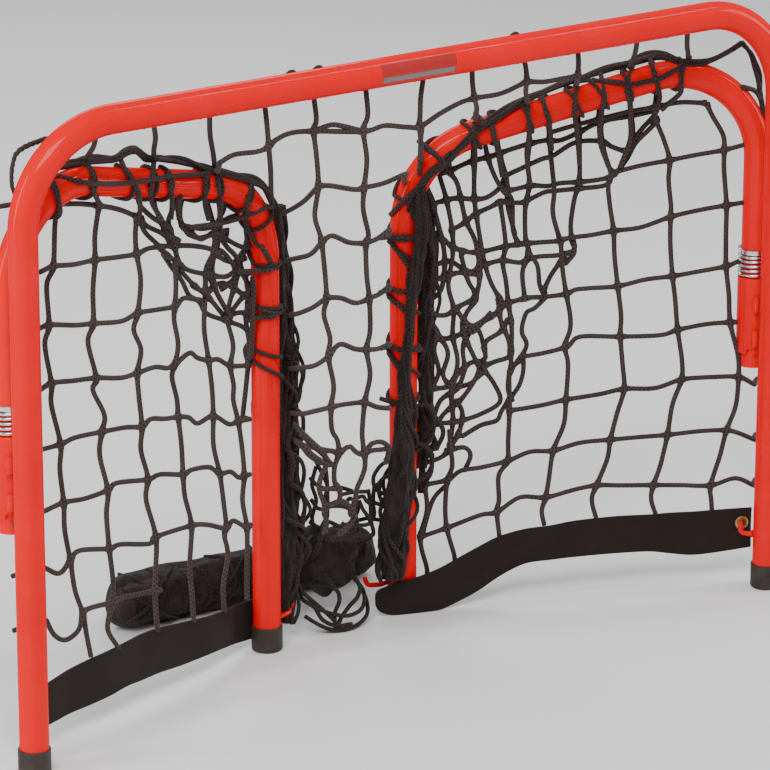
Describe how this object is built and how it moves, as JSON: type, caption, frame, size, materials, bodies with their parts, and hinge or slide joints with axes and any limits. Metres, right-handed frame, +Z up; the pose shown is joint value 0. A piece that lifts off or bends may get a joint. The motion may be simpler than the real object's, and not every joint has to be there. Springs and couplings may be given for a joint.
{
  "type": "folding floorball goal",
  "caption": "Folding floorball goal: bent tube frame with net wings that swing on sprung, notched sleeves, hung with a laced net, gathered roof net, skirt bands and rubber feet.",
  "frame": {"origin": "on the floor under the centre of the goal's box", "axes": "+X to the goal's right-hand post seen from the playing side, +Y from the mouth towards the back, +Z up"},
  "size_m": [0.907, 0.3132, 0.6298],
  "materials": {
    "red_paint": "gloss powder coat",
    "spring_steel": "bright zinc",
    "dark_steel": "blackened",
    "brass": "dull brass",
    "foot_rubber": "matt moulded",
    "net_cord": "knitted cord",
    "band_fabric": "woven webbing"
  },
  "bodies": {
    "front_frame": {"front_frame_tube": "red_paint", "left_post_foot": "foot_rubber", "right_post_foot": "foot_rubber", "left_post_hook": "red_paint", "right_post_hook": "red_paint", "left_hinge_sleeve": "red_paint", "right_hinge_sleeve": "red_paint", "left_spring": "spring_steel", "right_spring": "spring_steel", "crossbar_rope": "net_cord", "crossbar_net": "net_cord", "hanging_net": "net_cord", "trailing_net": "net_cord", "middle_back_roll": "net_cord"},
    "left_seat": {"left_spring_seat": "spring_steel"},
    "right_seat": {"right_spring_seat": "spring_steel"},
    "left_wing": {"left_wing_tube": "red_paint", "left_lock_pin": "dark_steel", "left_wing_foot": "foot_rubber", "left_leg_hook": "red_paint", "left_side_net": "net_cord", "left_slack_net": "net_cord", "left_wing_rope": "net_cord", "left_net_lacing": "net_cord", "left_net_bunch": "net_cord", "left_skirt_band": "band_fabric", "left_band_eyelet": "brass", "left_back_roll": "net_cord"},
    "right_wing": {"right_wing_tube": "red_paint", "right_lock_pin": "dark_steel", "right_wing_foot": "foot_rubber", "right_leg_hook": "red_paint", "right_side_net": "net_cord", "right_slack_net": "net_cord", "right_wing_rope": "net_cord", "right_net_lacing": "net_cord", "right_net_bunch": "net_cord", "right_skirt_band": "band_fabric", "right_band_eyelet": "brass"}
  },
  "joints": [
    {"name": "left_press", "type": "slide", "parent": "front_frame", "child": "left_seat", "axis": [0, 0, 1], "range_m": [-0.004, 0], "stiffness_N_per_m": 8000, "springref_m": 0.004, "deforming": ["left_spring"]},
    {"name": "left_swing", "type": "hinge", "parent": "left_seat", "child": "left_wing", "pos_m": [-0.436, -0.10948, 0.3], "axis": [0, 0, 1], "range_deg": [-17.4, 72.6]},
    {"name": "right_press", "type": "slide", "parent": "front_frame", "child": "right_seat", "axis": [0, 0, 1], "range_m": [-0.004, 0], "stiffness_N_per_m": 8000, "springref_m": 0.004, "deforming": ["right_spring"]},
    {"name": "right_swing", "type": "hinge", "parent": "right_seat", "child": "right_wing", "pos_m": [0.436, -0.10948, 0.3], "axis": [0, 0, 1], "range_deg": [-70, 20]}
  ]
}
